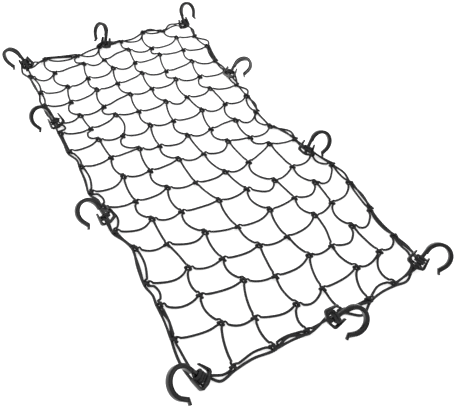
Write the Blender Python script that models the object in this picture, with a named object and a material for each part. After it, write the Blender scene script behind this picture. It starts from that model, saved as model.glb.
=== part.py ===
"""Elastic cargo net lying open on a surface: knotted square mesh, border cord, moulded hooks.

Metres, +Z up. The net lies on z = 0 with its long side along Y and its far end at +Y.
Rows of knots are counted from the far end, knots in a row from the -X side.
"""
import math
from collections import namedtuple

import bmesh
import bpy
from mathutils import Matrix, Vector

MM = 0.001

# The mesh: seven cells across and fifteen along, of 2 inch pitch.
CELLS_ACROSS = 7
CELLS_ALONG = 15
PITCH = 50.8 * MM
STRAND_HALF = 1.8 * MM
KNOT_HALF = 4.3 * MM
KNOT_SHOULDER = 5.2 * MM    # height of a knot's sides
KNOT_RISE = 8.8 * MM        # height of its middle
KNOT_REACH = 7.6 * MM       # from a knot's middle to where its strands are free
CORNER_DRAWN_IN = 18.0 * MM  # how far the mesh corners are pulled in from the corner hooks

# How the spans between knots lie.
BOW_SECTION = 7.5 * MM      # a span gets one more section for each of these that it bows
PEAK_ALONG = 0.45           # where along it a span along the net bows most
PEAK_TAUT = 0.45            # the same on a span across the net that starts at a left knot
PEAK_SLACK = 0.6            # and at a right knot, which the next span leaves flatter
HOOK_BOW = 12.0 * MM        # how far the edge span under a hook bows into the net
OPEN_SIDE = math.radians(144)  # a knot's side without a strand over this angle has two corners

# The middle of everything built lies over the origin.
NET_SHIFT = Vector((2.68, 6.77, 0)) * MM

# The border cord.
BORDER_HALF = 1.9 * MM
CLEARANCE = 0.3 * MM
BORDER_AT_KNOT = KNOT_HALF * math.sqrt(2) + BORDER_HALF + 2 * CLEARANCE
BORDER_STEP = 14.0 * MM     # spacing of its sections
BORDER_SHARES = (0.27, 0.5, 0.73)  # where along a span it is led

# The sides of the net, clockwise from the far left corner: the first knot, the step to the next,
# the way out of the net, and how far outside the middle of each edge span the border cord runs,
# in mm, or 0 where it goes straight on from a hook.
Side = namedtuple("Side", "start step outward gaps")
SIDES = (
    Side((0, 0), (1, 0), (0, 1), (9, 9, 23, 0, 15, 21, 9)),
    Side((7, 0), (0, 1), (1, 0), (9, 17, 5, 6, 0, 15, 15, 14, 8, 5, 11, 9, 5, 5, 15)),
    Side((7, 15), (-1, 0), (0, -1), (7, 10, 18, 0, 6, 11, 6)),
    Side((0, 15), (0, -1), (-1, 0), (7, 5, 13, 16, 5, 0, 13, 13, 6, 5, 0, 5, 10, 10, 13)),
)

# A hook: a flat moulding with a round mouth, a narrow shank and a two-armed anchor.
PLATE_HALF = 3.0 * MM
BAND = 5.6 * MM
BAND_RADIUS = 17.4 * MM
BAND_SWEEP = math.radians(206)
BAND_STEPS = 11
SHANK_HALF = 2.0 * MM
SHANK_LENGTH = 31.8 * MM
STEP_HEIGHT = 26.2 * MM     # where the band's inner side steps out of the shank
TIP_RUN = 9.0 * MM
NIB_LENGTH = 6.2 * MM
NIB_TURN = math.radians(65)
NIB_HALF = 1.3 * MM
CROTCH_HEIGHT = 4.4 * MM
ELBOW_BELOW = Vector((13.6, 3.4)) * MM
ELBOW = Vector((15.6, 6.0)) * MM
ELBOW_ABOVE = Vector((15.5, 8.6)) * MM
ELBOW_INSIDE = Vector((12.2, 8.2)) * MM
FLUKE_TIP = Vector((12.0, 24.0)) * MM
FLUKE_INSIDE = Vector((11.1, 21.8)) * MM
MOUTH_ARM = 0.8             # reach of the arm on the side of the mouth against the other one
POCKET = Vector((6.2, 13.0)) * MM  # middle of the space between shank and arm
WRAP_DEPTH = PLATE_HALF + BORDER_HALF + 1.7 * CLEARANCE
WRAP_TURN = 0.80            # where the cord turns behind the shank, from it to the pocket
WRAP_BULGE = 1.05           # and how much deeper it runs right behind the shank
PASS_BESIDE = SHANK_HALF + BORDER_HALF + 2.5 * CLEARANCE  # its way straight through one pocket
ANCHOR_REACH = 16.0 * MM    # from a pocket to where the cord is clear of the anchor

# How each row of knots lies, from the far end, in mm: how far each knot is shifted aside (+X) and
# ahead (+Y) of a regular net, then the bows of the spans that start at its knots, those across
# towards the near side and those along towards the left.
Row = namedtuple("Row", "aside ahead across along")
ROWS = (
    Row((2, -5, 7, 10, 8, 16, 8, 13), (-11, -4, -20, -5, -5, 12, -2, 12),
        (0, 9, 18, -3, 18, 3, -9), (-3, 9, 12, 6, 6, 9, 6, -3)),
    Row((3, -2, 9, 0, 10, 5, 23, 10), (-3, -11, -4, -9, 8, -9, 10, -3),
        (18, -6, 9, -9, 9, 9, -3), (-6, 12, 3, 0, 0, 9, 0, 0)),
    Row((4, 5, -2, 5, 1, 10, 12, 15), (-16, -18, -8, 6, 4, 12, 6, -2),
        (6, 3, 9, 9, 3, 0, 3), (-3, 3, 6, 3, 6, 3, 6, 3)),
    Row((-1, -6, 0, -8, -1, -6, 8, 0), (-7, -18, -1, 0, 14, -2, 9, -13),
        (3, 3, 0, 0, 6, 0, 6), (0, 12, 6, 6, 3, 9, 3, 0)),
    Row((0, -4, -8, 0, -7, -1, -5, 0), (-16, -14, -8, 7, 5, 15, 1, -4),
        (6, 3, -6, 3, 6, 6, 3), (0, 0, 12, 3, 6, 6, 12, 3)),
    Row((0, -1, 2, -8, -1, -10, -7, -6), (4, -8, 10, 0, 6, 0, 6, -7),
        (3, 3, 0, 3, 12, 6, 3), (0, 12, -9, 6, 3, 0, -3, -3)),
    Row((-2, 1, -10, -6, -15, -4, -7, -8), (1, 9, -1, 5, -3, 3, -1, 3),
        (3, 3, 9, 3, 6, 9, 6), (-6, 0, 15, 3, 9, 3, 9, 6)),
    Row((3, 2, 2, -16, -11, -17, -15, -19), (8, 6, 6, -4, 0, -4, -2, 2),
        (3, -3, 3, 9, 6, -6, 15), (-6, 6, 3, 9, 0, 9, 3, 12)),
    Row((-4, 3, -5, -2, -10, -7, -18, -19), (-4, 6, -2, 2, -6, 4, -6, 5),
        (9, 3, 0, 6, 12, -3, 6), (-9, 3, 9, 0, 3, 0, 9, -9)),
    Row((2, -2, 3, -4, 0, -4, 3, -2), (10, -3, 1, -10, -10, -8, 15, 4),
        (3, 3, 3, 3, 6, 0, 0), (3, 9, 6, 0, 0, 12, 0, 0)),
    Row((-1, 5, -1, 10, 10, 10, 4, 1), (6, 4, -4, -10, -10, -14, -1, 10),
        (9, 6, 0, 3, 15, 3, 6), (0, 0, 9, 3, 9, -3, 6, 6)),
    Row((12, 3, 11, 7, 18, 15, 15, 15), (16, 1, -5, -19, -13, -11, 2, 22),
        (6, 9, 0, 6, 0, 12, 15), (-6, -3, 3, 3, 3, 6, -3, 0)),
    Row((2, 11, 9, 16, 10, 21, 10, 13), (5, 2, -8, -12, -19, -4, 4, 27),
        (9, 6, 3, 3, 6, 3, 9), (-9, 6, 6, 0, 0, -6, 9, 0)),
    Row((3, 4, 16, 6, 18, 6, 7, 2), (19, 6, -1, -17, -10, -13, 3, 14),
        (9, 3, 3, 6, 3, 15, 15), (-3, 6, 3, 3, 3, 3, 0, 3)),
    Row((-2, 8, -2, 6, 0, 13, 10, -2), (17, 9, -6, -15, -13, -8, -3, 10),
        (3, 6, 6, 9, 3, 6, 9), (0, 3, 3, 6, 0, 6, 12, 0)),
    Row((1, -8, -4, -5, 0, -7, -10, -21), (13, 3, 1, -2, 0, -5, -2, 0),
        (6, -6, -6, 3, 0, -9, 0), ()),
)

# Each hook: its place in cells, the place of its base in mm, the compass heading and lean of its
# shank and its roll about the shank in degrees, the side its mouth is on, then the pockets that
# the border cord takes in turn, from the front or the rear face.
Hook = namedtuple("Hook", "i j x y z heading lean roll side pockets face")
HOOKS = (
    Hook(0.0, 0.0, -169.5, 350.2, 7.3, -42, 61, 82, -1, "--", 1),
    Hook(3.2, 0.0, -10.2, 360.1, 6.4, 47, 59, 23, -1, "--", 1),
    Hook(7.0, 0.0, 182.8, 358.7, 9.3, -3, 52, 64, 1, "-+", 1),
    Hook(7.0, 4.65, 168.2, 147.3, 6.7, 61, 33, 9, 1, "-+", -1),
    Hook(7.0, 10.3, 160.9, -118.6, 10.3, 63, 46, -44, 1, "++", -1),
    Hook(7.0, 15.0, 156.6, -380.4, 7.6, 74, 41, -29, 1, "-+", -1),
    Hook(3.5, 15.0, -12.3, -393.9, 24.0, 89, 15, -47, 1, "+-", -1),
    Hook(0.0, 15.0, -170.2, -381.1, 2.9, -37, 38, -5, -1, "-+", 1),
    Hook(0.0, 9.6, -179.5, -102.5, 4.0, -18, 45, -9, -1, "-+", 1),
    Hook(0.0, 4.7, -176.2, 147.7, 3.5, -28, 65, 7, -1, "--", 1),
)


def knot_at(i, j):
    """Plan place of knot i of row j."""
    place = Vector(((i - CELLS_ACROSS / 2) * PITCH, (CELLS_ALONG / 2 - j) * PITCH, 0))
    return place + Vector((ROWS[j].aside[i], ROWS[j].ahead[i], 0)) * MM + NET_SHIFT


def is_corner(i, j):
    return i in (0, CELLS_ACROSS) and j in (0, CELLS_ALONG)


def mesh_point(i, j):
    """A knot of the mesh, or a mesh corner drawn in from its hook."""
    place = knot_at(i, j)
    if is_corner(i, j):
        inward = Vector((1 if i == 0 else -1, -1 if j == 0 else 1, 0)).normalized()
        place += inward * CORNER_DRAWN_IN
    return place


def has_hook(i, j, crosswise):
    """Whether a hook stands over the edge span that starts at knot i, j."""
    for hook in HOOKS:
        along, start = (hook.i, i) if crosswise else (hook.j, j)
        beside = hook.j == j if crosswise else hook.i == i
        if beside and start < along < start + 1:
            return True
    return False


def span_bow(i, j, crosswise):
    """Sideways offset and the point of greatest bow of the span that starts at knot i, j."""
    bows = ROWS[j].across if crosswise else ROWS[j].along
    near_or_left = Vector((0, -1, 0)) if crosswise else Vector((-1, 0, 0))
    if has_hook(i, j, crosswise):
        into_net = near_or_left if (j == 0 if crosswise else i != 0) else -near_or_left
        return into_net * HOOK_BOW, 0.5
    bow = near_or_left * bows[i] * MM
    if not crosswise:
        return bow, PEAK_ALONG
    return bow, PEAK_TAUT if (i + j) % 2 else PEAK_SLACK


def span_place(start, end, bow, peak, t):
    """The place at share t of the way along a bowed span."""
    skew = math.log(0.5) / math.log(peak)
    return start.lerp(end, t) + bow * math.sin(math.pi * t ** skew)


def span_points(start, end, bow, peak, sections):
    """Points of one span between the two knots' reaches."""
    first = KNOT_REACH / (end - start).length
    shares = (first + (1 - 2 * first) * k / (sections - 1) for k in range(sections))
    return [span_place(start, end, bow, peak, t) for t in shares]


def add_strand(plan, points):
    """A flat ribbon through the points; its end pairs are given back, each as left and right."""
    pairs = []
    for k, point in enumerate(points):
        ahead = points[min(k + 1, len(points) - 1)] - points[max(k - 1, 0)]
        side = Vector((-ahead.y, ahead.x, 0)).normalized() * STRAND_HALF
        pairs.append((plan.verts.new(point + side), plan.verts.new(point - side)))
    for (left, right), (next_left, next_right) in zip(pairs, pairs[1:]):
        plan.faces.new((left, right, next_right, next_left))
    return pairs[0], pairs[-1][::-1]


def add_knot(plan, place, ends, half, rise):
    """A patch that joins the ends of the strands round a knot, with how high it rises."""
    shoulder, peak = (KNOT_SHOULDER, KNOT_RISE) if half > STRAND_HALF else [2 * STRAND_HALF] * 2
    middle = plan.verts.new(place)
    middle[rise] = peak

    def bearing(end):
        out = (end[0].co + end[1].co) / 2 - place
        return math.atan2(out.y, out.x)

    ends = sorted(ends, key=bearing)
    shoulders = []
    for end, after in zip(ends, ends[1:] + ends[:1]):
        start = bearing(end)
        gap = (bearing(after) - start) % (2 * math.pi)
        count = 2 if gap > OPEN_SIDE else 1
        group = []
        for k in range(count):
            angle = start + gap * (k + 0.5) / count
            out = Vector((math.cos(angle), math.sin(angle), 0))
            corner = plan.verts.new(place + out * half * math.sqrt(2))
            corner[rise] = shoulder
            group.append(corner)
        shoulders.append(group)
    for k, (left, right) in enumerate(ends):
        before, after = shoulders[k - 1][-1], shoulders[k][0]
        plan.faces.new((middle, before, right, left, after))
        for one, other in zip(shoulders[k], shoulders[k][1:]):
            plan.faces.new((middle, one, other))


def make_net_mesh():
    """The whole mesh in one: flat-bottomed strands round the open cells, and raised knots."""
    plan = bmesh.new()
    rise = plan.verts.layers.float.new("rise")
    ends = {}
    for j in range(CELLS_ALONG + 1):
        for i in range(CELLS_ACROSS + 1):
            for crosswise in (True, False):
                after = (i + 1, j) if crosswise else (i, j + 1)
                if after[0] > CELLS_ACROSS or after[1] > CELLS_ALONG:
                    continue
                bow, peak = span_bow(i, j, crosswise)
                sections = 3 + round(bow.length / BOW_SECTION)
                points = span_points(mesh_point(i, j), mesh_point(*after), bow, peak, sections)
                first, last = add_strand(plan, points)
                ends.setdefault((i, j), []).append(first)
                ends.setdefault(after, []).append(last)
    for vertex in plan.verts:
        vertex[rise] = 2 * STRAND_HALF
    for (i, j), meeting in ends.items():
        half = STRAND_HALF if is_corner(i, j) else KNOT_HALF
        add_knot(plan, mesh_point(i, j), meeting, half, rise)

    top = bmesh.ops.extrude_face_region(plan, geom=list(plan.faces), use_keep_orig=True)["geom"]
    for vertex in (v for v in top if isinstance(v, bmesh.types.BMVert)):
        vertex.co.z = vertex[rise]
    bmesh.ops.recalc_face_normals(plan, faces=plan.faces)
    net = bpy.data.meshes.new("net_mesh")
    plan.to_mesh(net)
    plan.free()
    return bpy.data.objects.new("net_mesh", net)


def hook_frame(hook):
    """Directions of a hook: across its shank, along its shank, and out of its face."""
    heading, lean, roll = (math.radians(a) for a in (hook.heading, hook.lean, hook.roll))
    level = Vector((math.cos(heading), -math.sin(heading), 0))
    ahead = Vector((math.sin(heading), math.cos(heading), 0))
    shank = ahead * math.cos(lean) + Vector((0, 0, math.sin(lean)))
    face = level.cross(shank)
    across = level * math.cos(roll) + face * math.sin(roll)
    return across, shank, across.cross(shank)


def arc(centre, radius, start, sweep, steps):
    """Points of a clockwise arc, ends included."""
    angles = (start - sweep * k / steps for k in range(steps + 1))
    return [centre + radius * Vector((math.cos(a), math.sin(a))) for a in angles]


def hook_outline():
    """The moulding's outline, base at the origin, shank up, mouth on the +X side."""
    inner_side = BAND - SHANK_HALF
    centre = Vector((BAND / 2 - SHANK_HALF + BAND_RADIUS, SHANK_LENGTH))
    inner = arc(centre, BAND_RADIUS - BAND / 2, math.pi, BAND_SWEEP, BAND_STEPS)
    outer = arc(centre, BAND_RADIUS + BAND / 2, math.pi, BAND_SWEEP, BAND_STEPS + 2)
    run = Vector((math.sin(BAND_SWEEP), math.cos(BAND_SWEEP)))
    nib = Vector((math.sin(BAND_SWEEP - NIB_TURN), math.cos(BAND_SWEEP - NIB_TURN)))
    nib_side = Vector((nib.y, -nib.x))
    nib_end = (inner[-1] + outer[-1]) / 2 + run * TIP_RUN + nib * NIB_LENGTH
    tip = [
        inner[-1] + run * TIP_RUN,
        nib_end + nib_side * NIB_HALF,
        nib_end - nib_side * NIB_HALF,
        outer[-1] + run * TIP_RUN,
    ]
    crotch = Vector((SHANK_HALF, CROTCH_HEIGHT))
    arm = [ELBOW_BELOW, ELBOW, ELBOW_ABOVE, FLUKE_TIP, FLUKE_INSIDE, ELBOW_INSIDE]
    mouth_arm = [Vector((p.x * MOUTH_ARM, p.y)) for p in arm]
    far_arm = [Vector((-p.x, p.y)) for p in reversed(arm)]
    step = [Vector((SHANK_HALF, STEP_HEIGHT)), Vector((inner_side, STEP_HEIGHT))]
    anchor = far_arm + [Vector((0, 0))] + mouth_arm + [crotch]
    return anchor + step + inner + tip + outer[::-1] + [Vector((-crotch.x, crotch.y))]


def hook_base(hook):
    return Vector((hook.x, hook.y, hook.z)) * MM + NET_SHIFT


def pocket_middle(hook):
    """The point of a hook's shank that lies between its two pockets."""
    return hook_base(hook) + hook_frame(hook)[1] * POCKET.y


def make_hook(number, hook):
    """One hook, the flat outline given its thickness and stood in its place."""
    across, shank, face = hook_frame(hook)
    outline = hook_outline()
    if hook.side < 0:
        outline = [Vector((-p.x, p.y)) for p in reversed(outline)]
    curve = bpy.data.curves.new("hook", "CURVE")
    curve.dimensions = "2D"
    curve.fill_mode = "BOTH"
    curve.extrude = PLATE_HALF
    spline = curve.splines.new("POLY")
    spline.points.add(len(outline) - 1)
    for point, place in zip(spline.points, outline):
        point.co = (place.x, place.y, 0, 1)
    spline.use_cyclic_u = True
    moulding = bpy.data.objects.new(f"hook_{number:02d}", curve)
    moulding.location = hook_base(hook)
    moulding.rotation_euler = Matrix((across, shank, face)).transposed().to_euler()
    return moulding


def through_hook(hook, before, after):
    """The border cord's way through one hook's pockets, coming from and going on to a point."""
    across, shank, face = hook_frame(hook)
    middle = pocket_middle(hook)
    straight = hook.pockets[0] == hook.pockets[1]
    beside = across * (PASS_BESIDE if straight else POCKET.x)
    first, second = (middle + beside * (1 if p == "+" else -1) for p in hook.pockets)
    side = face * WRAP_DEPTH * hook.face
    if straight:
        way = [first + side, first, first - side]
        return lead(way[0], before, side) + way + lead(way[-1], after, -side)
    way = [first + side, first, middle.lerp(first, WRAP_TURN) - side, middle - side * WRAP_BULGE]
    way += [middle.lerp(second, WRAP_TURN) - side, second, second + side]
    return lead(way[0], before, side) + way + lead(way[-1], after, side)


def lead(start, goal, side):
    """A point along the hook's face, where the cord would else cut through the anchor."""
    ahead = goal - start
    level = ahead - side * ahead.dot(side) / side.length_squared
    if ahead.dot(side) > 0 or level.length < ANCHOR_REACH:
        return []
    return [start + level.normalized() * ANCHOR_REACH]


EdgeSpan = namedtuple("EdgeSpan", "start end outward gap")


def edge_spans():
    """The edge spans in turn, clockwise from the far left corner."""
    spans = []
    for side in SIDES:
        i, j = side.start
        for gap in side.gaps:
            start = i, j
            i, j = i + side.step[0], j + side.step[1]
            spans.append(EdgeSpan(start, (i, j), Vector((*side.outward, 0)), gap))
    return spans


def outer_place(span):
    """Where the border cord passes the knot that an edge span starts from."""
    return knot_at(*span.start) + span.outward * BORDER_AT_KNOT + Vector((0, 0, BORDER_HALF))


def beside_span(span, t):
    """Where the border cord passes an edge span, at share t of the way along it."""
    first, last = sorted((span.start, span.end))
    bow, peak = span_bow(*first, first[1] == last[1])
    places = []
    for share in (t - 0.05, t, t + 0.05):
        share = share if first == span.start else 1 - share
        places.append(span_place(mesh_point(*first), mesh_point(*last), bow, peak, share))
    behind, strand, ahead = places
    square_out = Vector((behind.y - ahead.y, ahead.x - behind.x, 0)).normalized()
    gap = BORDER_AT_KNOT + (span.gap * MM - BORDER_AT_KNOT) * math.sin(math.pi * t)
    nearest = span.start if t < 0.5 else span.end
    rise = KNOT_RISE if t != 0.5 and under_hook(*nearest) else 0
    return strand + square_out * gap + Vector((0, 0, BORDER_HALF + rise))


def border_route():
    """Points that the border cord passes, all round the net."""
    route = []
    spans = edge_spans()
    for n, span in enumerate(spans):
        from_corner = is_corner(*span.start)
        if not from_corner and not under_hook(*span.start):
            route.append(outer_place(span))
        here = [h for h in HOOKS if stands_at(h, span.start, span.end)]
        if here:
            before = route[-1] if route else outer_place(spans[n - 1])
            route += through_hook(here[0], before, outer_place(spans[(n + 1) % len(spans)]))
        shares = BORDER_SHARES
        if here and not from_corner:
            shares = BORDER_SHARES[-1:] if span.gap else ()
        places = (beside_span(span, t) for t in shares)
        route += [place for place in places if not beside_anchor(place)]
    return route


def under_hook(i, j):
    """Whether a hook's anchor stands over the knot, so that the border cord passes above it."""
    return any((pocket_middle(hook) - knot_at(i, j)).xy.length < POCKET.y for hook in HOOKS)


def beside_anchor(place):
    """Whether a place is so near a hook's anchor that the cord is on its way through it."""
    return any((pocket_middle(hook) - place).xy.length < ANCHOR_REACH for hook in HOOKS)


def stands_at(hook, start, end):
    """Whether a hook stands at an edge knot or over the edge span from there to the next."""
    if (hook.i, hook.j) == start:
        return True
    low_i, high_i = sorted((start[0], end[0]))
    low_j, high_j = sorted((start[1], end[1]))
    strictly = low_i < hook.i < high_i or low_j < hook.j < high_j
    return strictly and low_i <= hook.i <= high_i and low_j <= hook.j <= high_j


def smooth_through(points, step):
    """A closed smooth line through the points, with a place about every step."""
    line = []
    count = len(points)
    for k in range(count):
        a, b, c, d = (points[(k + m) % count] for m in (-1, 0, 1, 2))
        tangent_b = (c - a) * (c - b).length / ((c - b).length + (b - a).length)
        tangent_c = (d - b) * (c - b).length / ((c - b).length + (d - c).length)
        pieces = max(2 if (c - b).length < POCKET.y else 1, round((c - b).length / step))
        for m in range(pieces):
            t = m / pieces
            line.append(
                b * (2 * t**3 - 3 * t**2 + 1) + tangent_b * (t**3 - 2 * t**2 + t)
                + c * (3 * t**2 - 2 * t**3) + tangent_c * (t**3 - t**2)
            )
    return line


def make_border_cord():
    """The cord round the whole net, as a tube that never dips under the surface."""
    line = smooth_through(border_route(), BORDER_STEP)
    curve = bpy.data.curves.new("border_cord", "CURVE")
    curve.dimensions = "3D"
    curve.bevel_depth = BORDER_HALF
    curve.bevel_resolution = 1
    spline = curve.splines.new("POLY")
    spline.points.add(len(line) - 1)
    for point, place in zip(spline.points, line):
        point.co = (place.x, place.y, max(place.z, BORDER_HALF), 1)
    spline.use_cyclic_u = True
    return bpy.data.objects.new("border_cord", curve)


def make_material(name, colour, roughness):
    material = bpy.data.materials.new(name)
    material.use_nodes = True
    shader = material.node_tree.nodes["Principled BSDF"]
    shader.inputs["Base Color"].default_value = (*colour, 1)
    shader.inputs["Roughness"].default_value = roughness
    shader.inputs["Metallic"].default_value = 0
    return material


def build():
    for old in list(bpy.data.objects):
        bpy.data.objects.remove(old)
    collection = bpy.data.collections.new("cargo_net")
    bpy.context.scene.collection.children.link(collection)
    net = make_net_mesh()
    border = make_border_cord()
    hooks = [make_hook(n, hook) for n, hook in enumerate(HOOKS, start=1)]
    net.data.materials.append(make_material("mesh_elastic", (0.022, 0.022, 0.024), 0.7))
    border.data.materials.append(make_material("border_elastic", (0.026, 0.026, 0.028), 0.7))
    for hook in hooks:
        hook.data.materials.append(make_material("hook_plastic", (0.02, 0.02, 0.022), 0.28))
    for piece in [net, border] + hooks:
        collection.objects.link(piece)


build()
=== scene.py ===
"""Elastic cargo net lying open, seen over its near left corner.

The net cord, the border cord and the ten moulded hooks stand in for the model's plain solids.
Metres, +Z up, the long side along Y, as in the model.
"""

import math
import random
from collections import namedtuple

import bmesh
import bpy
from mathutils import Matrix, Vector


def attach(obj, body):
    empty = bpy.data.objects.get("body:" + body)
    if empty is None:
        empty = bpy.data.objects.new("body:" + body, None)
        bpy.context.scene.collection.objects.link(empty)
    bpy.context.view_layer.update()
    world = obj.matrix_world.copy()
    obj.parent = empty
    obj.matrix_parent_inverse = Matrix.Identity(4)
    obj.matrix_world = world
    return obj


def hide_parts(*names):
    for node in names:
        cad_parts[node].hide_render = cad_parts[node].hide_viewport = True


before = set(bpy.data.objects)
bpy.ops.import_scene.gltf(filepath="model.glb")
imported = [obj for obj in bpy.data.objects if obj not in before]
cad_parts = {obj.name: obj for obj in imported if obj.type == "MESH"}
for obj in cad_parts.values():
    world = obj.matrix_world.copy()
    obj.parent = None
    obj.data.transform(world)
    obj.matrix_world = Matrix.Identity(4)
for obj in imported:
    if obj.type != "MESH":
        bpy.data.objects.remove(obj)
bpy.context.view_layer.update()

MM = 0.001


# The camera.

def set_camera():
    """A camera that looks down on the near left corner, long side running away to the left."""
    right = Vector((0.85981, -0.50860, 0.04528))
    up = Vector((0.34645, 0.64622, 0.67998))
    place = Vector((-0.28857, -0.57225, 0.55420))
    lens = bpy.data.cameras.new("camera")
    lens.lens = 38.77
    lens.sensor_width = 36
    lens.clip_start = 0.01
    camera = bpy.data.objects.new("camera", lens)
    turn = Matrix((right, up, right.cross(up))).transposed().to_4x4()
    camera.matrix_world = Matrix.Translation(place) @ turn
    bpy.context.scene.collection.objects.link(camera)
    bpy.context.scene.camera = camera


set_camera()


# How the net lies, as in the model. Rows are counted from the far end, knots from the left.

CELLS_ACROSS = 7
CELLS_ALONG = 15
PITCH = 50.8 * MM
CORD = 1.8 * MM             # radius of the net cord where it runs free
CORD_TIED = 1.55 * MM       # and where it is pulled thin in a knot
KNOT_REACH = 7.6 * MM       # from a knot's middle to where its cord runs free
KNOT_HEIGHT = 4.4 * MM      # of a knot's middle
KNOT_SIZE = 0.82            # of the knots' tables below
KNOT_SPREAD = 0.06          # by what share knots differ in size
KNOT_TURN = 0.16            # and by what angle they are turned at most
PEAK_ALONG = 0.45           # where along it a span along the net bows most
PEAK_TAUT = 0.45            # the same on a span across the net, for every second knot
PEAK_SLACK = 0.6            # and for the knots between them
PEAK_AT_HOOK = 0.5
NET_SHIFT = Vector((2.68, 6.77, 0)) * MM

BORDER = 1.9 * MM           # radius of the border cord
BORDER_AT_KNOT = 3.6 * MM   # how far out of a knot's middle it passes

# The sides of the net, clockwise from the far left corner: the first knot, the step to the next,
# the way out of the net, and how far out of the straight line between its knots the border cord
# bows along each span, in mm.
Side = namedtuple("Side", "start step outward bows")
SIDES = (
    Side((0, 0), (1, 0), (0, 1), (0, 0, 5, 0, -3, 18, 18)),
    Side((7, 0), (0, 1), (1, 0), (12, 17, 1, 6, 0, 14, 9, 2, 17, 4, 0, 9, 8, 1, 15)),
    Side((7, 15), (-1, 0), (0, -1), (7, 1, 16, 0, -4, 1, 12)),
    Side((0, 15), (0, -1), (-1, 0), (9, -3, 1, 5, 1, 0, -1, 2, -1, 3, 0, 4, 6, 4, 10)),
)

# How each row of knots lies, from the far end, in mm: how far each knot is shifted aside (+X) and
# ahead (+Y) of a regular net, then the bows of the spans that start at its knots, those across
# towards the near side and those along towards the left.
Row = namedtuple("Row", "aside ahead across along")
ROWS = (
    Row((2, -5, 7, 10, 8, 16, 8, 13), (-11, -4, -20, -5, -5, 12, -2, 12),
        (0, 9, 18, -3, 18, 3, -9), (-3, 9, 12, 6, 6, 9, 6, -3)),
    Row((3, -2, 9, 0, 10, 5, 23, 10), (-3, -11, -4, -9, 8, -9, 10, -3),
        (18, -6, 9, -9, 9, 9, -3), (-6, 12, 3, 0, 0, 9, 0, 0)),
    Row((4, 5, -2, 5, 1, 10, 12, 15), (-16, -18, -8, 6, 4, 12, 6, -2),
        (6, 3, 9, 9, 3, 0, 3), (-3, 3, 6, 3, 6, 3, 6, 3)),
    Row((-1, -6, 0, -8, -1, -6, 8, 0), (-7, -18, -1, 0, 14, -2, 9, -13),
        (3, 3, 0, 0, 6, 0, 6), (0, 12, 6, 6, 3, 9, 3, 0)),
    Row((0, -4, -8, 0, -7, -1, -5, 0), (-16, -14, -8, 7, 5, 15, 1, -4),
        (6, 3, -6, 3, 6, 6, 3), (0, 0, 12, 3, 6, 6, 12, 3)),
    Row((0, -1, 2, -8, -1, -10, -7, -6), (4, -8, 10, 0, 6, 0, 6, -7),
        (3, 3, 0, 3, 12, 6, 3), (0, 12, -9, 6, 3, 0, -3, -3)),
    Row((-2, 1, -10, -6, -15, -4, -7, -8), (1, 9, -1, 5, -3, 3, -1, 3),
        (3, 3, 9, 3, 6, 9, 6), (-6, 0, 15, 3, 9, 3, 9, 6)),
    Row((3, 2, 2, -16, -11, -17, -15, -19), (8, 6, 6, -4, 0, -4, -2, 2),
        (3, -3, 3, 9, 6, -6, 15), (-6, 6, 3, 9, 0, 9, 3, 12)),
    Row((-4, 3, -5, -2, -10, -7, -18, -19), (-4, 6, -2, 2, -6, 4, -6, 5),
        (9, 3, 0, 6, 12, -3, 6), (-9, 3, 9, 0, 3, 0, 9, -9)),
    Row((2, -2, 3, -4, 0, -4, 3, -2), (10, -3, 1, -10, -10, -8, 15, 4),
        (3, 3, 3, 3, 6, 0, 0), (3, 9, 6, 0, 0, 12, 0, 0)),
    Row((-1, 5, -1, 10, 10, 10, 4, 1), (6, 4, -4, -10, -10, -14, -1, 10),
        (9, 6, 0, 3, 15, 3, 6), (0, 0, 9, 3, 9, -3, 6, 6)),
    Row((12, 3, 11, 7, 18, 15, 15, 15), (16, 1, -5, -19, -13, -11, 2, 22),
        (6, 9, 0, 6, 0, 12, 15), (-6, -3, 3, 3, 3, 6, -3, 0)),
    Row((2, 11, 9, 16, 10, 21, 10, 13), (5, 2, -8, -12, -19, -4, 4, 27),
        (9, 6, 3, 3, 6, 3, 9), (-9, 6, 6, 0, 0, -6, 9, 0)),
    Row((3, 4, 16, 6, 18, 6, 7, 2), (19, 6, -1, -17, -10, -13, 3, 14),
        (9, 3, 3, 6, 3, 15, 15), (-3, 6, 3, 3, 3, 3, 0, 3)),
    Row((-2, 8, -2, 6, 0, 13, 10, -2), (17, 9, -6, -15, -13, -8, -3, 10),
        (3, 6, 6, 9, 3, 6, 9), (0, 3, 3, 6, 0, 6, 12, 0)),
    Row((1, -8, -4, -5, 0, -7, -10, -21), (13, 3, 1, -2, 0, -5, -2, 0),
        (6, -6, -6, 3, 0, -9, 0), ()),
)

# A hook: its place in cells, its base in mm, heading, lean and roll in degrees, the side its
# mouth is on, the pockets that the cords take in turn, from which face, and how far in mm the
# net's strand beside the anchor bows into the net.
Hook = namedtuple("Hook", "i j x y z heading lean roll side pockets face bow")
HOOKS = (
    Hook(0.0, 0.0, -169.5, 350.2, 7.3, -42, 61, 82, -1, "-+", 1, 0),
    Hook(3.2, 0.0, -10.2, 360.1, 6.4, 47, 59, 23, -1, "-+", 1, -3),
    Hook(7.0, 0.0, 182.8, 358.7, 9.3, -3, 52, 64, 1, "-+", 1, 0),
    Hook(7.0, 4.65, 168.2, 147.3, 6.7, 61, 33, 9, 1, "-+", -1, 2),
    Hook(7.0, 10.3, 160.9, -118.6, 10.3, 63, 46, -44, 1, "-+", -1, 8),
    Hook(7.0, 15.0, 156.6, -380.4, 7.6, 74, 41, -29, 1, "-+", -1, 0),
    Hook(3.5, 15.0, -12.3, -393.9, 24.0, 89, 15, -47, 1, "+-", -1, 0),
    Hook(0.0, 15.0, -170.2, -381.1, 2.9, -37, 38, -5, -1, "+-", -1, 0),
    Hook(0.0, 9.6, -179.5, -102.5, 4.0, -18, 45, -9, -1, "-+", 1, 12),
    Hook(0.0, 4.7, -176.2, 147.7, 3.5, -28, 65, 7, -1, "-+", 1, 12),
)
POCKET = Vector((6.4, 13.0)) * MM    # of a pocket's middle: across the shank, along it
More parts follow.
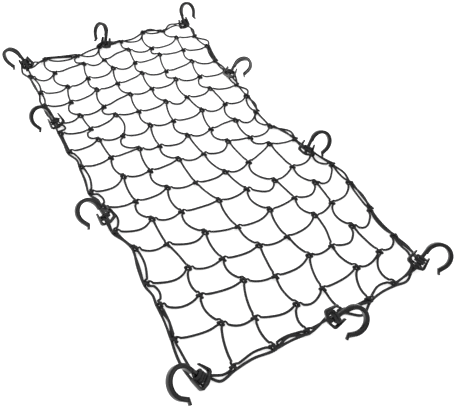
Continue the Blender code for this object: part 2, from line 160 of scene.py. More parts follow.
TURNS = 2                   # of a cord round a hook's shank
WRAP_DEPTH = 5.0 * MM       # how far in front of and behind an anchor's middle the cord passes
WRAP_TURN = 0.6             # where between shank and pocket it reaches that depth behind
WRAP_BULGE = 1.05           # and its depth behind the shank, against that
WRAP_STEP = 3.9 * MM        # from one turn round a shank to the next
ANCHOR_REACH = 16.0 * MM    # how far a cord runs along the anchor's face before it turns away
NET_TURNS = -3.8 * MM       # at a corner hook, along the shank from the middle of its pockets
BORDER_TURNS = 3.4 * MM     # the same for the border cord
CORNER_INSIDE = 12.0 * MM   # from a corner into the net, where its cord is drawn towards


def knot_at(i, j):
    """Plan place of knot i of row j."""
    place = Vector(((i - CELLS_ACROSS / 2) * PITCH, (CELLS_ALONG / 2 - j) * PITCH, 0))
    return place + Vector((ROWS[j].aside[i], ROWS[j].ahead[i], 0)) * MM + NET_SHIFT


def is_corner(i, j):
    return i in (0, CELLS_ACROSS) and j in (0, CELLS_ALONG)


def hook_over(i, j, crosswise):
    """The hook that stands over the edge span that starts at knot i, j, if there is one."""
    for hook in HOOKS:
        along, start = (hook.i, i) if crosswise else (hook.j, j)
        beside = hook.j == j if crosswise else hook.i == i
        if beside and start < along < start + 1:
            return hook
    return None


def span_bow(i, j, crosswise):
    """Sideways offset and the point of greatest bow of the span that starts at knot i, j."""
    bows = ROWS[j].across if crosswise else ROWS[j].along
    near_or_left = Vector((0, -1, 0)) if crosswise else Vector((-1, 0, 0))
    hook = hook_over(i, j, crosswise)
    if hook:
        into_net = near_or_left if (j == 0 if crosswise else i != 0) else -near_or_left
        return into_net * hook.bow * MM, PEAK_AT_HOOK
    bow = near_or_left * bows[i] * MM
    if not crosswise:
        return bow, PEAK_ALONG
    return bow, PEAK_TAUT if (i + j) % 2 else PEAK_SLACK


def outward_at(i, j):
    """The way out of the net at an edge knot."""
    aside = (i == CELLS_ACROSS) - (i == 0)
    ahead = (j == 0) - (j == CELLS_ALONG)
    return Vector((aside, ahead, 0)).normalized()


# Cords are laid through stops: places with the cord's radius there and the spacing of its rings.

Stop = namedtuple("Stop", "place radius step")


def flow(stops, closed):
    """Ring places and radii along a smooth line through the stops."""
    rings = []
    count = len(stops)
    for k in range(count if closed else count - 1):
        b, c = stops[k], stops[(k + 1) % count]
        a = stops[k - 1] if closed or k else b
        d = stops[(k + 2) % count] if closed or k + 2 < count else c
        chord = (c.place - b.place).length
        tangent_b = (c.place - a.place) * chord / (chord + (b.place - a.place).length)
        tangent_c = (d.place - b.place) * chord / (chord + (d.place - c.place).length)
        pieces = max(1, round(chord / min(b.step, c.step)))
        for m in range(pieces):
            t = m / pieces
            place = (
                b.place * (2 * t**3 - 3 * t**2 + 1) + tangent_b * (t**3 - 2 * t**2 + t)
                + c.place * (3 * t**2 - 2 * t**3) + tangent_c * (t**3 - t**2)
            )
            radius = b.radius + (c.radius - b.radius) * t
            place.z = max(place.z, radius)
            rings.append((place, radius))
    if not closed:
        rings.append((stops[-1].place, stops[-1].radius))
    return rings


def ring_places(rings, closed, sides):
    """The corners of all rings of a cord, each ring square to the cord and turned the least."""
    count = len(rings)
    centres = [place for place, _ in rings]
    places = []
    side = None
    for k, (centre, radius) in enumerate(rings):
        ahead = centres[(k + 1) % count] if closed or k + 1 < count else centre
        behind = centres[k - 1] if closed or k else centre
        direction = (ahead - behind).normalized()
        side = direction.orthogonal() if side is None else side - direction * side.dot(direction)
        side.normalize()
        other = direction.cross(side)
        for m in range(sides):
            angle = 2 * math.pi * m / sides
            places.append(centre + (side * math.cos(angle) + other * math.sin(angle)) * radius)
    return places


def sweep(name, rings, closed, sides):
    """The mesh of one round cord through its rings, with a map of its length for the braid."""
    places = ring_places(rings, closed, sides)
    twist = closing_twist(places, sides) if closed else 0
    count = len(rings)
    faces, braid = [], []
    along = 0
    for k in range(count if closed else count - 1):
        step = (rings[(k + 1) % count][0] - rings[k][0]).length
        here = k * sides
        after = (k + 1) % count * sides
        offset = twist if k + 1 == count else 0
        for m in range(sides):
            n = (m + 1) % sides
            ahead_m, ahead_n = after + (m + offset) % sides, after + (n + offset) % sides
            faces.append((here + m, here + n, ahead_n, ahead_m))
            low, high = m / sides, (m + 1) / sides
            braid += [(along, low), (along, high), (along + step, high), (along + step, low)]
        along += step
    if not closed:
        faces.append(tuple(range(sides - 1, -1, -1)))
        faces.append(tuple(range((count - 1) * sides, count * sides)))
        for end in (0, along):
            braid += [(end, m / sides) for m in range(sides)]
    mesh = bpy.data.meshes.new(name)
    mesh.from_pydata(places, [], faces)
    layer = mesh.uv_layers.new(name="braid")
    for loop, place in zip(layer.data, braid):
        loop.uv = place
    mesh.shade_smooth()
    cord = bpy.data.objects.new(name, mesh)
    bpy.context.scene.collection.objects.link(cord)
    return cord


def closing_twist(places, sides):
    """By how many corners the first ring of a closed cord is turned against its last."""
    last = places[-1]
    return min(range(sides), key=lambda m: (places[m] - last).length) - (sides - 1)


# The net cord: one long cord, knotted in diagonal layers from the near left corner.

# The cord's way through a knot in mm: towards the near left, towards the far left, up. The bight
# comes in from the left and leaves to the near side. The hitch comes in from the right, goes
# round behind the bight and leaves to the far side.
BIGHT = (
    (3.2, 2.6, 0.0), (0.0, 2.4, 0.0), (-3.2, 1.6, 0.2), (-4.4, 0.0, 0.3),
    (-3.2, -1.6, 0.2), (0.0, -2.4, 0.0), (3.2, -2.6, 0.0),
)
HITCH = (
    (-5.4, -5.4, -1.0), (-3.0, -1.5, -3.6), (-0.5, 0.0, 0.9), (1.5, 3.4, 3.2),
    (2.0, 5.6, 0.5), (2.2, 2.4, -3.4), (2.2, -2.4, -3.4), (2.0, -5.6, 0.0),
    (0.5, -2.4, 3.6), (-1.0, 0.5, 2.2), (-3.2, 2.4, 3.2), (-5.4, 5.4, 0.0),
)
FREE_STEP = 4.2 * MM        # from ring to ring where the cord runs free
KNOT_STEP = 1.5 * MM        # and in a knot
RUN_PLACES = 7              # places of a span from knot to knot
DROP_LENGTH = 13.0 * MM     # from a knot's reach to where its cord lies on the surface
DROP_SHARE = 0.8            # of a knot's height, where its cord leaves it
LINK_AT_KNOT = 4.6 * MM     # how far out of the straight line an edge link is at its knots
LINK_BOW = 3.2 * MM         # and half way
LINK_HEIGHT = 5.5 * MM      # it lies on the border cord
LINK_SHARES = (0.1, 0.3, 0.5, 0.7, 0.9)
TAUT_SHARES = (0.2, 0.45, 0.7)       # from the knot to a corner hook's pocket
TAUT_SAG = 2.5 * MM

Visit = namedtuple("Visit", "i j hitch")


def level_way(angle):
    return Vector((math.cos(angle), math.sin(angle), 0))


def knot_stops(visit):
    """The cord's way through one knot, in the order of the tables above."""
    chance = random.Random(100 * visit.i + visit.j)
    turn = chance.uniform(-KNOT_TURN, KNOT_TURN)
    size = KNOT_SIZE * chance.uniform(1 - KNOT_SPREAD, 1 + KNOT_SPREAD)
    over = 1 if (visit.i + visit.j) % 2 else -1
    near_left = level_way(turn - 0.75 * math.pi)
    far_left = level_way(turn + 0.75 * math.pi)
    middle = knot_at(visit.i, visit.j) + Vector((0, 0, KNOT_HEIGHT))
    stops = []
    for a, b, up in HITCH if visit.hitch else BIGHT:
        place = middle + (near_left * a + far_left * b + Vector((0, 0, up * over))) * size * MM
        stops.append(Stop(place, CORD_TIED, KNOT_STEP))
    return stops


def span_stops(one, other):
    """The free cord between two neighbouring knots, from one to the other."""
    if is_corner(one.i, one.j) or is_corner(other.i, other.j):
        return taut_stops(one, other, 0)
    crosswise = one.j == other.j
    start, end = sorted((one, other), key=lambda v: (v.i, v.j))
    bow, peak = span_bow(start.i, start.j, crosswise)
    places = run_between(knot_at(start.i, start.j), knot_at(end.i, end.j), bow, peak)
    if (start.i, start.j) != (one.i, one.j):
        places.reverse()
    return [Stop(place, CORD, FREE_STEP) for place in places]


def taut_stops(one, other, out):
    """The cord between a knot and the anchor of its corner hook, drawn up off the surface."""
    leaves_hook = is_corner(one.i, one.j)
    corner, knot = (one, other) if leaves_hook else (other, one)
    hook = corner_hook(corner)
    bow, _ = span_bow(min(one.i, other.i), min(one.j, other.j), one.j == other.j)
    high = pocket_place(hook, POCKET.y, hook.pockets[1] if leaves_hook else hook.pockets[0])
    low = knot_at(knot.i, knot.j) + Vector((0, 0, CORD))
    outward = outward_at(knot.i, knot.j)
    stops = []
    for t in TAUT_SHARES:
        place = low.lerp(high, t) + (outward * out + bow) * math.sin(math.pi * t)
        place.z -= TAUT_SAG * math.sin(math.pi * t)
        stops.append(Stop(place, CORD, FREE_STEP))
    return stops[::-1] if leaves_hook else stops


def run_between(start, end, bow, peak):
    """Places from reach to reach of two knots, bowed sideways and down on the surface."""
    length = (end - start).length
    skew = math.log(0.5) / math.log(peak)
    places = []
    for k in range(RUN_PLACES):
        reach = KNOT_REACH + (length - 2 * KNOT_REACH) * k / (RUN_PLACES - 1)
        t = reach / length
        place = start.lerp(end, t) + bow * math.sin(math.pi * t**skew)
        free = min(reach, length - reach) - KNOT_REACH
        lift = max(0, 1 - free / DROP_LENGTH)
        place.z = CORD + (KNOT_HEIGHT - CORD) * DROP_SHARE * lift * lift
        places.append(place)
    return places


def link_stops(one, other):
    """A second strand along the edge, where the cord goes on from one layer to the next."""
    if is_corner(*one[:2]) or is_corner(*other[:2]):
        return taut_stops(one, other, LINK_AT_KNOT)
    outward = outward_at(*one[:2])
    start, end = knot_at(*one[:2]), knot_at(*other[:2])
    places = []
    for t in LINK_SHARES:
        out = LINK_AT_KNOT + (LINK_BOW - LINK_AT_KNOT) * math.sin(math.pi * t)
        place = start.lerp(end, t) + outward * out
        place.z = LINK_HEIGHT
        places.append(place)
    return [Stop(place, CORD, FREE_STEP) for place in places]


def layer_visits(layer):
    """The knots of one diagonal layer from left to right, hitch and bight in turn."""
    visits = []
    for i in range(max(0, layer - CELLS_ALONG), min(CELLS_ACROSS, layer) + 1):
        j = CELLS_ALONG - (layer - i)
        if not visits and j > 0:
            visits.append(Visit(i, j - 1, False))
        visits.append(Visit(i, j, True))
        if i < CELLS_ACROSS:
            visits.append(Visit(i + 1, j, False))
    return visits


def net_cord_stops():
    """The whole net cord in one line, layer after layer, back and forth."""
    stops = []
    before = None
    for layer in range(CELLS_ACROSS + CELLS_ALONG):
        visits = layer_visits(layer)
        leftward = layer % 2 == 0
        if leftward:
            visits.reverse()
        for n, visit in enumerate(visits):
            if before and before[:2] == visit[:2]:
                continue
            if before:
                stops += span_stops(before, visit) if n else link_stops(before, visit)
            if is_corner(visit.i, visit.j):
                stops += corner_stops(visit, stops[-1].place)
            else:
                way = knot_stops(visit)
                stops += reversed(way) if visit.hitch != leftward else way
            before = visit
    return stops


# The cords' way through the hooks' anchors.

def hook_frame(hook):
    """Directions of a hook: across its shank, along its shank, and out of its face."""
    heading, lean, roll = (math.radians(a) for a in (hook.heading, hook.lean, hook.roll))
    level = Vector((math.cos(heading), -math.sin(heading), 0))
    ahead = Vector((math.sin(heading), math.cos(heading), 0))
    shank = ahead * math.cos(lean) + Vector((0, 0, math.sin(lean)))
    face = level.cross(shank)
    across = level * math.cos(roll) + face * math.sin(roll)
    return across, shank, across.cross(shank)


def hook_base(hook):
    return Vector((hook.x, hook.y, hook.z)) * MM + NET_SHIFT


def pocket_place(hook, height, pocket):
    """A place in the middle of one of a hook's pockets, at a height along its shank."""
    across, shank, _ = hook_frame(hook)
    way = 1 if pocket == "+" else -1
    return hook_base(hook) + shank * height + across * POCKET.x * way


def through_hook(hook, before, after, along):
    """A cord's turns round one hook's shank, in through one pocket and out through the other."""
    _, shank, face = hook_frame(hook)
    side = face * WRAP_DEPTH * hook.face
    way = []
    for turn in range(TURNS):
        height = POCKET.y + along + WRAP_STEP * (turn - (TURNS - 1) / 2)
        middle = hook_base(hook) + shank * height
        first, second = (pocket_place(hook, height, pocket) for pocket in hook.pockets)
        way.append((middle if turn else first) + side)
        way += [first, middle.lerp(first, WRAP_TURN) - side, middle - side * WRAP_BULGE]
        way += [middle.lerp(second, WRAP_TURN) - side, second]
    way.append(second + side)
    return lead(way[0], before, side) + way + lead(way[-1], after, side)


def lead(start, goal, side):
    """A place along the hook's face, where the cord would else cut through the anchor."""
    ahead = goal - start
    level = ahead - side * ahead.dot(side) / side.length_squared
    if ahead.dot(side) > 0 or level.length < ANCHOR_REACH:
        return []
    return [start + level.normalized() * ANCHOR_REACH]


def corner_hook(visit):
    """The hook at a corner that the net cord visits."""
    return next(h for h in HOOKS if (h.i, h.j) == (visit.i, visit.j))


def corner_stops(visit, before):
    """The net cord's turns round the shank of a corner hook."""
    hook = corner_hook(visit)
    inner = knot_at(visit.i, visit.j) - outward_at(visit.i, visit.j) * CORNER_INSIDE
    way = through_hook(hook, before, inner, NET_TURNS)
    return [Stop(place, CORD_TIED, KNOT_STEP) for place in way]


EdgeSpan = namedtuple("EdgeSpan", "start end outward bow")


def edge_spans():
    """The edge spans in turn, clockwise from the far left corner."""
    spans = []
    for side in SIDES:
        i, j = side.start
        for bow in side.bows:
            start = i, j
            i, j = i + side.step[0], j + side.step[1]
            spans.append(EdgeSpan(start, (i, j), Vector((*side.outward, 0)), bow * MM))
    return spans


def outer_place(span):
    """Where the border cord passes the knot that an edge span starts from."""
    return knot_at(*span.start) + span.outward * BORDER_AT_KNOT + Vector((0, 0, BORDER))


def under_hook(i, j):
    """Whether a hook's anchor stands over the knot, so that the border cord passes above it."""
    for hook in HOOKS:
        pocket = hook_base(hook) + hook_frame(hook)[1] * POCKET.y
        if (pocket - knot_at(i, j)).xy.length < POCKET.y:
            return True
    return False


def stands_at(hook, start, end):
    """Whether a hook stands at an edge knot or over the edge span from there to the next."""
    if (hook.i, hook.j) == start:
        return True
    low_i, high_i = sorted((start[0], end[0]))
    low_j, high_j = sorted((start[1], end[1]))
    strictly = low_i < hook.i < high_i or low_j < hook.j < high_j
    return strictly and low_i <= hook.i <= high_i and low_j <= hook.j <= high_j


def border_route():
    """Places that the border cord passes, all round the net."""
    route = []
    spans = edge_spans()
    for n, span in enumerate(spans):
        if not is_corner(*span.start) and not under_hook(*span.start):
            route.append(outer_place(span))
        hooks = [h for h in HOOKS if stands_at(h, span.start, span.end)]
        if hooks:
            before = route[-1] if route else outer_place(spans[n - 1])
            after = outer_place(spans[(n + 1) % len(spans)])
            along = BORDER_TURNS if is_corner(*span.start) else 0
            route += through_hook(hooks[0], before, after, along)
        if span.bow:
            middle = (knot_at(*span.start) + knot_at(*span.end)) / 2
            route.append(middle + span.outward * span.bow + Vector((0, 0, BORDER)))
    return route


BORDER_STEP = 2.6 * MM
NET_SIDES = 8
BORDER_SIDES = 10


def lay_net_cord():
    return sweep("net_cord", flow(net_cord_stops(), False), False, NET_SIDES)


def lay_border_cord():
    route = [Stop(place, BORDER, BORDER_STEP) for place in border_route()]
    return sweep("border_cord_round", flow(route, True), True, BORDER_SIDES)


net_cord = lay_net_cord()
border_cord = lay_border_cord()


# The hook: a moulded I section bent to a round mouth, a heel, a slim shank and an anchor.

PLATE_HALF = 3.0 * MM       # half the depth of the shank and the anchor
BAND = 5.6 * MM             # width of the ring in the hook's plane
BAND_RADIUS = 17.4 * MM     # to the middle of that width
BAND_SWEEP = math.radians(206)
BAND_STEPS = 28
RING_DEPTH = 0.36           # by what share the ring is deeper than the shank, towards the heel
RING_TAPER = 0.14           # and by what share it is thinner at its tip
RING_FULL = math.radians(24)         # where on the sweep it has its full depth
RING_HELD = math.radians(80)         # and up to where
SECTION_SLACK = math.radians(1)      # how far off its angle a section's corner may be
SHANK_HALF = 2.0 * MM
SHANK_LENGTH = 31.8 * MM    # from the base to the level of the ring's middle
HEEL_HEIGHT = 26.2 * MM     # from the base to the heel's underside
CROTCH_HEIGHT = 4.4 * MM    # and to where the arms leave the shank
CROWN_HEIGHT = 0.6 * MM     # and to the anchor's lower end
MOUTH_ARM = 0.8             # reach of the arm on the side of the mouth against the other one
TIP_RUN = 9.0 * MM          # straight run from the ring's end to the nib
NIB_LENGTH = 6.2 * MM
NIB_TURN = math.radians(65)
NIB_WIDTH = 2.6 * MM
FLANGE = 1.3 * MM
WEB_DEPTH = 1.8 * MM        # how deep the web is sunk in each face
EDGE_ROUND = 0.45 * MM
FACING = 0.9                # least share of a face's normal along the way it is said to face
SLANTED = 0.7               # the same for the crown's sides

# Sections of one arm of the anchor, from the crown to the tip of its fluke: the outer and the
# inner edge in mm.
ARM = (
    ((7.6, 1.9), (6.6, 5.5)),
    ((13.6, 3.4), (11.4, 7.0)),
    ((15.6, 6.0), (12.2, 8.2)),
    ((15.5, 8.6), (12.3, 9.4)),
    ((13.9, 16.2), (11.8, 15.8)),
    ((12.0, 23.9), (11.1, 22.0)),
)


def pick(piece, wanted):
    """Select the faces whose middle and normal are wanted, and nothing else."""
    bpy.ops.mesh.select_all(action="DESELECT")
    shape = bmesh.from_edit_mesh(piece.data)
    for face in shape.faces:
        if wanted(face.calc_center_median(), face.normal):
            face.select_set(True)
    bmesh.update_edit_mesh(piece.data)


def picked_middle(piece):
    """The middle of the selected vertices."""
    shape = bmesh.from_edit_mesh(piece.data)
    places = [v.co.copy() for v in shape.verts if v.select]
    return sum(places, Vector()) / len(places)


def picked_width(piece):
    """The width of the selected section in the hook's plane, and its direction."""
    shape = bmesh.from_edit_mesh(piece.data)
    places = [v.co.copy() for v in shape.verts if v.select]
    middle = picked_middle(piece)
    far = max(places, key=lambda place: (place - middle).xy.length)
    return (far - middle).xy


def new_section(piece, one, other):
    """Extrude the selected end and bring its two edges to the given places."""
    old = picked_width(piece)
    middle = ((one + other) / 2).to_3d()
    move = middle - picked_middle(piece)
    move.z = 0
    bpy.ops.mesh.extrude_region_move(TRANSFORM_OT_translate={"value": move})
    new = (one - other) / 2
    if new.dot(old) < 0:
        new = -new
    turn = math.atan2(old.x * new.y - old.y * new.x, old.dot(new))
    bpy.ops.transform.rotate(value=-turn, orient_axis="Z", center_override=middle)
    size = new.length / old.length
    bpy.ops.transform.resize(value=(size, size, 1), center_override=middle)


def ring_depth(turn):
    """The ring's depth against the shank's, at an angle of its sweep."""
    if turn < RING_FULL:
        return 1 + RING_DEPTH * turn / RING_FULL
    if turn < RING_HELD:
        return 1 + RING_DEPTH
    share = (turn - RING_HELD) / (BAND_SWEEP - RING_HELD)
    return 1 + RING_DEPTH - (RING_DEPTH + RING_TAPER) * share


def shape_ring(hook, mouth):
    """Make each section of the ring as deep as it is there."""
    for k in range(1, BAND_STEPS + 1):
        turn = BAND_SWEEP * k / BAND_STEPS
        bpy.ops.mesh.select_all(action="DESELECT")
        shape = bmesh.from_edit_mesh(hook.data)
        for vertex in shape.verts:
            spoke = vertex.co - mouth
            angle = math.atan2(spoke.y, -spoke.x) % (2 * math.pi)
            if abs(angle - turn) < SECTION_SLACK:
                vertex.select_set(True)
        bmesh.update_edit_mesh(hook.data)
        bpy.ops.transform.resize(value=(1, 1, ring_depth(turn)), center_override=mouth)


def ends_ring(middle, normal, mouth):
    """Whether a face closes the ring's end."""
    run = Vector((math.sin(BAND_SWEEP), math.cos(BAND_SWEEP), 0))
    return normal.dot(run) > FACING and (middle - mouth).dot(run) > -MM and middle.x > mouth.x


def model_hook():
    """One hook, base at the origin, shank along +Y, mouth on the +X side."""
    bpy.ops.object.select_all(action="DESELECT")
    heel_middle = (BAND / 2 - SHANK_HALF, (HEEL_HEIGHT + SHANK_LENGTH) / 2, 0)
    bpy.ops.mesh.primitive_cube_add(size=1, location=heel_middle)
    hook = bpy.context.object
    hook.name = "hook_moulding"
    hook.scale = (BAND, SHANK_LENGTH - HEEL_HEIGHT, 2 * PLATE_HALF)
    bpy.ops.object.transform_apply(location=True, rotation=True, scale=True)
    bpy.ops.object.mode_set(mode="EDIT")

    # The mouth: the heel's upper end is spun round it, then drawn out to the tip and nib.
    pick(hook, lambda middle, normal: normal.y > FACING)
    mouth = Vector((BAND / 2 - SHANK_HALF + BAND_RADIUS, SHANK_LENGTH, 0))
    bpy.ops.mesh.spin(steps=BAND_STEPS, angle=BAND_SWEEP, center=mouth, axis=(0, 0, 1))
    shape_ring(hook, mouth)
    pick(hook, lambda middle, normal: ends_ring(middle, normal, mouth))
    run = Vector((math.sin(BAND_SWEEP), math.cos(BAND_SWEEP)))
    side = Vector((-run.y, run.x))
    end_angle = math.pi - BAND_SWEEP
    end = mouth.xy + Vector((math.cos(end_angle), math.sin(end_angle))) * BAND_RADIUS
    tip = end + run * TIP_RUN
    new_section(hook, tip + side * BAND / 2, tip - side * BAND / 2)
    nib = Vector((math.sin(BAND_SWEEP - NIB_TURN), math.cos(BAND_SWEEP - NIB_TURN)))
    nib_side = Vector((-nib.y, nib.x))
    nib_end = tip + nib * NIB_LENGTH
    new_section(hook, nib_end + nib_side * NIB_WIDTH / 2, nib_end - nib_side * NIB_WIDTH / 2)

    # The web of the I section, sunk from both faces.
    def has_web(middle, normal):
        return normal.z * face > FACING and (middle.xy - nib_end).length > NIB_LENGTH

    for face in (1, -1):
        pick(hook, has_web)
        bpy.ops.mesh.inset(thickness=FLANGE)
        bpy.ops.transform.translate(value=(0, 0, -WEB_DEPTH * face))

    # The shank, from the heel's outer half down to the crown.
    def under_heel(middle, normal):
        return normal.y < -FACING and middle.y < HEEL_HEIGHT + EDGE_ROUND

    pick(hook, under_heel)
    bpy.ops.mesh.bisect(plane_co=(SHANK_HALF, 0, 0), plane_no=(1, 0, 0))
    pick(hook, lambda middle, normal: under_heel(middle, normal) and middle.x < SHANK_HALF)
    for drop in (CROTCH_HEIGHT - HEEL_HEIGHT, CROWN_HEIGHT - CROTCH_HEIGHT):
        bpy.ops.mesh.extrude_region_move(TRANSFORM_OT_translate={"value": (0, drop, 0)})

    # The anchor's arms, each drawn out of the crown's side through its sections.
    def beside_crown(middle, normal):
        return normal.x * way > SLANTED and middle.y < CROTCH_HEIGHT and abs(middle.x) < BAND / 2

    for way in (MOUTH_ARM, -1):
        pick(hook, beside_crown)
        for edges in ARM:
            outer, inner = (Vector((x * way, y)) * MM for x, y in edges)
            new_section(hook, outer, inner)

    bpy.ops.mesh.select_all(action="SELECT")
    bpy.ops.mesh.normals_make_consistent(inside=False)
    bpy.ops.object.mode_set(mode="OBJECT")
    rounding = hook.modifiers.new("rounding", "BEVEL")
    rounding.width = EDGE_ROUND
    rounding.segments = 2
    rounding.limit_method = "ANGLE"
    rounding.angle_limit = math.radians(35)
    bpy.ops.object.modifier_apply(modifier=rounding.name)
    bpy.ops.object.shade_smooth_by_angle(angle=math.radians(40))
    return hook


def stand_hook(pattern, number, hook):
    """A copy of the moulding in its place, mirrored where its mouth is on the other side."""
    across, shank, face = hook_frame(hook)
    copy = bpy.data.objects.new(f"moulded_hook_{number:02d}", pattern.data.copy())
    bpy.context.scene.collection.objects.link(copy)
    turn = Matrix((across * hook.side, shank, face)).transposed().to_4x4()
    copy.data.transform(Matrix.Translation(hook_base(hook)) @ turn)
    if hook.side < 0:
        copy.data.flip_normals()
    return copy


def make_hooks():
    pattern = model_hook()
    hooks = [stand_hook(pattern, n, hook) for n, hook in enumerate(HOOKS, start=1)]
    bpy.data.objects.remove(pattern)
    return hooks


hooks = make_hooks()


# Finishes.

class Value:
    """A value in a finish's nodes; arithmetic on it adds Math nodes."""

    def __init__(self, finish, socket):
        self.finish = finish
        self.socket = socket

    def math(self, operation, first, second):
        return self.finish.node("ShaderNodeMath", {"operation": operation}, {0: first, 1: second})

    def __add__(self, other):
        return self.math("ADD", self, other)

    def __sub__(self, other):
        return self.math("SUBTRACT", self, other)

    def __mul__(self, other):
        return self.math("MULTIPLY", self, other)

    def __pow__(self, other):
        return self.math("POWER", self, other)

    def __rsub__(self, other):
        return self.math("SUBTRACT", other, self)

    __radd__ = __add__
    __rmul__ = __mul__

    def floor(self):
        return self.math("FLOOR", self, 0)

    def fraction(self):
        return self.math("FRACT", self, 0)

    def odd(self):
        """1 for an odd whole number, 0 for an even one."""
        return self.math("PINGPONG", self, 1)


COLOURS_OF_MIX = 6, 7       # a Mix node's sockets for two colours
COLOUR_FROM_MIX = 2
OBJECT_PLACE = 3            # a Texture Coordinate node's output


class Finish:
    """A material whose nodes are made one call each."""

    def __init__(self, name, roughness, shine):
        self.material = bpy.data.materials.new(name)
        self.material.use_nodes = True
        self.tree = self.material.node_tree
        self.shader = self.tree.nodes["Principled BSDF"]
        self.shader.inputs["Roughness"].default_value = roughness
        self.shader.inputs["Specular IOR Level"].default_value = shine

    def node(self, kind, settings, sockets, output=0):
        """A node with its settings, then its sockets' values or links; one output is given back."""
        node = self.tree.nodes.new(kind)
        for name, setting in settings.items():
            setattr(node, name, setting)
        for name, value in sockets.items():
            if isinstance(value, Value):
                self.tree.links.new(value.socket, node.inputs[name])
            else:
                node.inputs[name].default_value = value
        return Value(self, node.outputs[output])

    def mix(self, share, one, other):
        first, second = COLOURS_OF_MIX
        sockets = {"Factor": share, first: (*one, 1), second: (*other, 1)}
        return self.node("ShaderNodeMix", {"data_type": "RGBA"}, sockets, COLOUR_FROM_MIX)

    def set(self, name, value):
        self.tree.links.new(value.socket, self.shader.inputs[name])

    def raised(self, height, depth, strength):
        """Relief of the given depth."""
        sockets = {"Strength": strength, "Distance": depth, "Height": height}
        self.set("Normal", self.node("ShaderNodeBump", {}, sockets))

    def noise(self, scale, detail, place):
        sockets = {"Vector": place, "Scale": scale, "Detail": detail}
        return self.node("ShaderNodeTexNoise", {}, sockets)


CARRIERS = 8                # bobbins each way round the cord's braided jacket
LAYS = 560.0                # strands a metre that each passes along the cord
BRAID_DEPTH = 0.22 * MM
WEAR_SCALE = 38
YARN_SCALE = 2600
JACKET_ROUGH = 0.62
JACKET_SHINE = 0.3
# Tones of the jacket: its colour is painted darker in the dips between the yarn bundles and lighter
# on their crowns, as shade and light fall there, and shifts with patchy wear.
JACKET_DARK = 0.006, 0.006, 0.007
NET_JACKET_LIGHT = 0.026, 0.026, 0.028
BORDER_JACKET_LIGHT = 0.030, 0.030, 0.032


def braided_jacket(name, light):
    """The cord's jacket: flat bundles of yarn braided over and under each other."""
    finish = Finish(name, JACKET_ROUGH, JACKET_SHINE)
    braid = finish.node("ShaderNodeUVMap", {"uv_map": "braid"}, {})
    along = finish.node("ShaderNodeSeparateXYZ", {}, {"Vector": braid}, 0)
    around = finish.node("ShaderNodeSeparateXYZ", {}, {"Vector": braid}, 1)
    leftward = around * CARRIERS + along * LAYS
    rightward = around * CARRIERS - along * LAYS
    over = (leftward.floor() + rightward.floor()).odd()
    cross = leftward.fraction() * over + rightward.fraction() * (1 - over)
    lengthwise = rightward.fraction() * over + leftward.fraction() * (1 - over)
    crown = 1 - (cross * 2 - 1) ** 2
    dive = 1 - (lengthwise * 2 - 1) ** 4 * 0.6
    height = crown * dive
    place = finish.node("ShaderNodeTexCoord", {}, {}, OBJECT_PLACE)
    wear = finish.noise(WEAR_SCALE, 3, place)
    yarn = finish.noise(YARN_SCALE, 2, place)
    # Painted shade and highlight: darker in the braid's dips and lighter on its crowns, following
    # its height; the wear noise adds real patchy wear on top.
    finish.set("Base Color", finish.mix(height * 0.55 + wear * 0.5 - 0.15, JACKET_DARK, light))
    finish.set("Roughness", wear * 0.2 + (JACKET_ROUGH - height * 0.12))
    finish.raised(height + yarn * 0.35, BRAID_DEPTH, 0.8)
    return finish.material


GRAIN_DEPTH = 0.08 * MM
GRAIN_SCALE = 1500
CLOUD_SCALE = 60
RUB_SCALE = 320
RUB_FROM, RUB_TO = 0.56, 0.7         # noise between which the plastic is more and more rubbed
PLASTIC_ROUGH = 0.34
PLASTIC_SHINE = 0.34
PLASTIC_DARK = 0.004, 0.004, 0.0045
PLASTIC_RUBBED = 0.016, 0.016, 0.017


def hook_plastic():
    """Black moulded plastic with a soft gloss, faint mould grain and rub marks."""
    finish = Finish("hook_plastic_moulded", PLASTIC_ROUGH, PLASTIC_SHINE)
    place = finish.node("ShaderNodeTexCoord", {}, {}, OBJECT_PLACE)
    cloud = finish.noise(CLOUD_SCALE, 3, place)
    grain = finish.noise(GRAIN_SCALE, 2, place)
    spots = finish.noise(RUB_SCALE, 4, place)
    limits = {"From Min": RUB_FROM, "From Max": RUB_TO, "To Min": 0, "To Max": 1}
    rubs = finish.node("ShaderNodeMapRange", {}, {"Value": spots, **limits})
    finish.set("Base Color", finish.mix(rubs * 0.5 + cloud * 0.3, PLASTIC_DARK, PLASTIC_RUBBED))
    finish.set("Roughness", cloud * 0.14 + rubs * 0.16 + 0.2)
    finish.raised(grain * 0.5 + cloud, GRAIN_DEPTH, 0.5)
    return finish.material


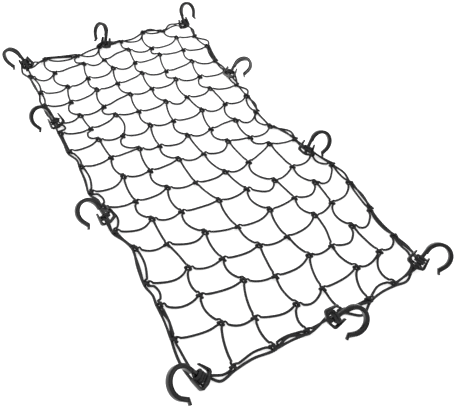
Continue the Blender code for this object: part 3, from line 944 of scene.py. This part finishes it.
def finish_piece(piece, material, slot, *nodes):
    """Give a piece its material, and let it stand in for nodes of the model; the slot is not used.
    """
    piece.data.materials.clear()
    piece.data.materials.append(material)
    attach(piece, "root")
    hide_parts(*nodes)


net_jacket = braided_jacket("net_cord_jacket", NET_JACKET_LIGHT)
finish_piece(net_cord, net_jacket, "mesh_cord", "net_mesh")
border_jacket = braided_jacket("border_cord_jacket", BORDER_JACKET_LIGHT)
finish_piece(border_cord, border_jacket, "border_cord", "border_cord")
plastic = hook_plastic()
for number, hook in enumerate(hooks, start=1):
    finish_piece(hook, plastic, "hook_plastic", f"hook_{number:02d}")


# The studio: a white floor that fills the picture, white all round, a soft light from the far
# left and a weaker one from the near right.

def white_floor():
    """The floor, which also glows a little so that it is plain white."""
    bpy.ops.object.select_all(action="DESELECT")
    bpy.ops.mesh.primitive_plane_add(size=60, location=(0, 0, 0))
    floor = bpy.context.object
    floor.name = "floor"
    finish = Finish("floor_white", 0.9, 0.1)
    finish.shader.inputs["Base Color"].default_value = (0.92, 0.92, 0.92, 1)
    finish.shader.inputs["Emission Color"].default_value = (1, 1, 1, 1)
    finish.shader.inputs["Emission Strength"].default_value = 0.6
    floor.data.materials.append(finish.material)


def soft_light(name, place, size, power):
    """A square light that faces the net's middle."""
    light = bpy.data.lights.new(name, "AREA")
    light.size = size
    light.energy = power
    lamp = bpy.data.objects.new(name, light)
    lamp.location = place
    lamp.rotation_euler = (-Vector(place)).to_track_quat("-Z", "Y").to_euler()
    bpy.context.scene.collection.objects.link(lamp)


def light_studio():
    """White all round and the two lights."""
    world = bpy.data.worlds.new("studio")
    world.use_nodes = True
    world.node_tree.nodes["Background"].inputs["Color"].default_value = (1, 1, 1, 1)
    world.node_tree.nodes["Background"].inputs["Strength"].default_value = 0.7
    bpy.context.scene.world = world
    bpy.context.scene.view_settings.view_transform = "Standard"
    soft_light("key", (-0.9, 1.2, 1.6), 1.0, 22)
    soft_light("fill", (1.3, -0.6, 1.4), 1.4, 8)


white_floor()
light_studio()
